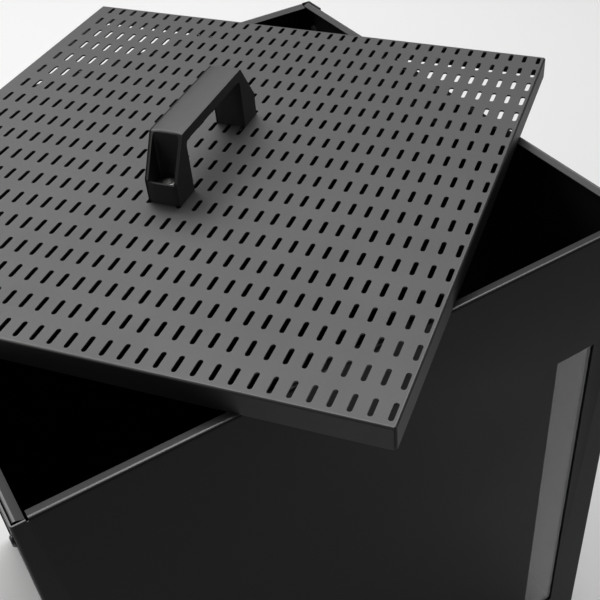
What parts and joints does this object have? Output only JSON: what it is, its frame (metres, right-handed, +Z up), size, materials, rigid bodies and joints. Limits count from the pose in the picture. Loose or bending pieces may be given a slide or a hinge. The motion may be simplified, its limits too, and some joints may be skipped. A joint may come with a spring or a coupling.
{
  "type": "pellet container",
  "caption": "Square bin of folded black sheet steel for wood pellets, with a tall sight window in the front and a loose perforated lid that is lifted by a bridge handle.",
  "frame": {"origin": "on the ground under the middle of the lid, which is also the middle of the overall box", "axes": "+Z up, +X to the right and +Y to the back for someone who faces the front with the window"},
  "size_m": [0.4678, 0.4666, 0.4605],
  "materials": {
    "black_coat": "satin black powder coat",
    "handle_plastic": "fine moulded grain",
    "clear_pane": "clear polished acrylic",
    "black_screws": "black oxide",
    "zinc_hardware": "bright zinc plate",
    "rubber_feet": "matt moulded rubber"
  },
  "bodies": {
    "container": {"front_panel": "black_coat", "back_panel": "black_coat", "left_side_panel": "black_coat", "right_side_panel": "black_coat", "floor_panel": "black_coat", "front_left_foot": "rubber_feet", "front_right_foot": "rubber_feet", "back_left_foot": "rubber_feet", "back_right_foot": "rubber_feet", "window_pane": "clear_pane", "left_pane_guide": "black_coat", "right_pane_guide": "black_coat", "pane_stop": "black_coat", "front_lid_ledge": "black_coat", "right_lid_ledge": "black_coat", "back_lid_ledge": "black_coat", "left_lid_ledge": "black_coat", "corner_screws": "black_screws", "corner_nuts": "zinc_hardware"},
    "lid": {"lid_panel": "black_coat", "lid_handle": "handle_plastic", "handle_screws": "zinc_hardware", "handle_washers": "zinc_hardware", "handle_nuts": "zinc_hardware"}
  },
  "joints": [
    {"name": "lid_lift", "type": "slide", "parent": "container", "child": "lid", "axis": [0, 0, 1], "range_m": [0, 0.15]}
  ]
}
